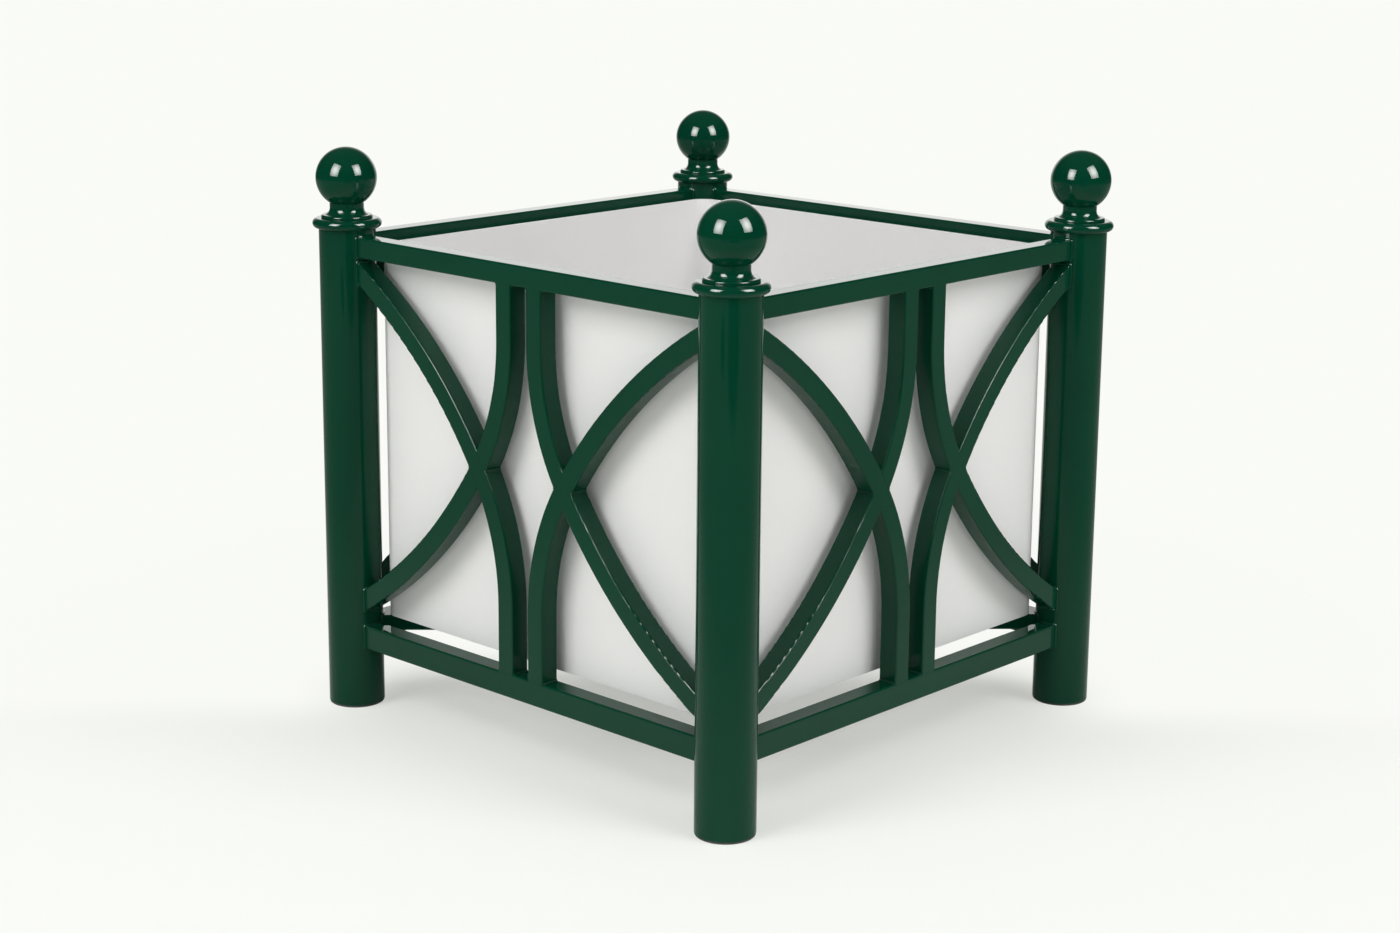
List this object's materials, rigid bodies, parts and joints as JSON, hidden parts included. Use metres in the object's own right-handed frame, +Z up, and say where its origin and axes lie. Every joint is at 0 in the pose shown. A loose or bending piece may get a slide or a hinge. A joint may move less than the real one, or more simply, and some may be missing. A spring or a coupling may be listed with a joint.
{
  "type": "square garden planter",
  "caption": "Square metal garden planter: round posts with ball finials, square-tube rails, a curved crossing lattice on each side and a loose open-topped white liner.",
  "frame": {"origin": "on the floor, under the middle of the planter", "axes": "+Z up; X and Y across the four equal sides, so each side faces +X, -X, +Y or -Y"},
  "size_m": [0.725, 0.725, 0.71],
  "materials": {
    "green_powder_coat": "glossy dark green powder coat with a slight orange peel",
    "black_plastic": "plain black moulded foot caps",
    "white_plastic": "satin white moulded plastic"
  },
  "bodies": {
    "frame": {"post_front_left": "green_powder_coat", "post_front_right": "green_powder_coat", "post_back_right": "green_powder_coat", "post_back_left": "green_powder_coat", "finial_front_left": "green_powder_coat", "finial_front_right": "green_powder_coat", "finial_back_right": "green_powder_coat", "finial_back_left": "green_powder_coat", "top_rail_front": "green_powder_coat", "top_rail_right": "green_powder_coat", "top_rail_back": "green_powder_coat", "top_rail_left": "green_powder_coat", "bottom_rail_front": "green_powder_coat", "bottom_rail_right": "green_powder_coat", "bottom_rail_back": "green_powder_coat", "bottom_rail_left": "green_powder_coat", "long_bar_front_1": "green_powder_coat", "outer_bar_front_1": "green_powder_coat", "inner_bar_front_1": "green_powder_coat", "long_bar_front_2": "green_powder_coat", "outer_bar_front_2": "green_powder_coat", "inner_bar_front_2": "green_powder_coat", "long_bar_right_1": "green_powder_coat", "outer_bar_right_1": "green_powder_coat", "inner_bar_right_1": "green_powder_coat", "long_bar_right_2": "green_powder_coat", "outer_bar_right_2": "green_powder_coat", "inner_bar_right_2": "green_powder_coat", "long_bar_back_1": "green_powder_coat", "outer_bar_back_1": "green_powder_coat", "inner_bar_back_1": "green_powder_coat", "long_bar_back_2": "green_powder_coat", "outer_bar_back_2": "green_powder_coat", "inner_bar_back_2": "green_powder_coat", "long_bar_left_1": "green_powder_coat", "outer_bar_left_1": "green_powder_coat", "inner_bar_left_1": "green_powder_coat", "long_bar_left_2": "green_powder_coat", "outer_bar_left_2": "green_powder_coat", "inner_bar_left_2": "green_powder_coat", "base_bar_long": "green_powder_coat", "base_bar_half_front": "green_powder_coat", "base_bar_half_back": "green_powder_coat", "foot_front_left": "black_plastic", "foot_front_right": "black_plastic", "foot_back_right": "black_plastic", "foot_back_left": "black_plastic"},
    "liner": {"liner": "white_plastic"}
  },
  "joints": [
    {"name": "liner_lift", "type": "slide", "parent": "frame", "child": "liner", "axis": [0, 0, 1], "range_m": [0, 0.6]}
  ]
}
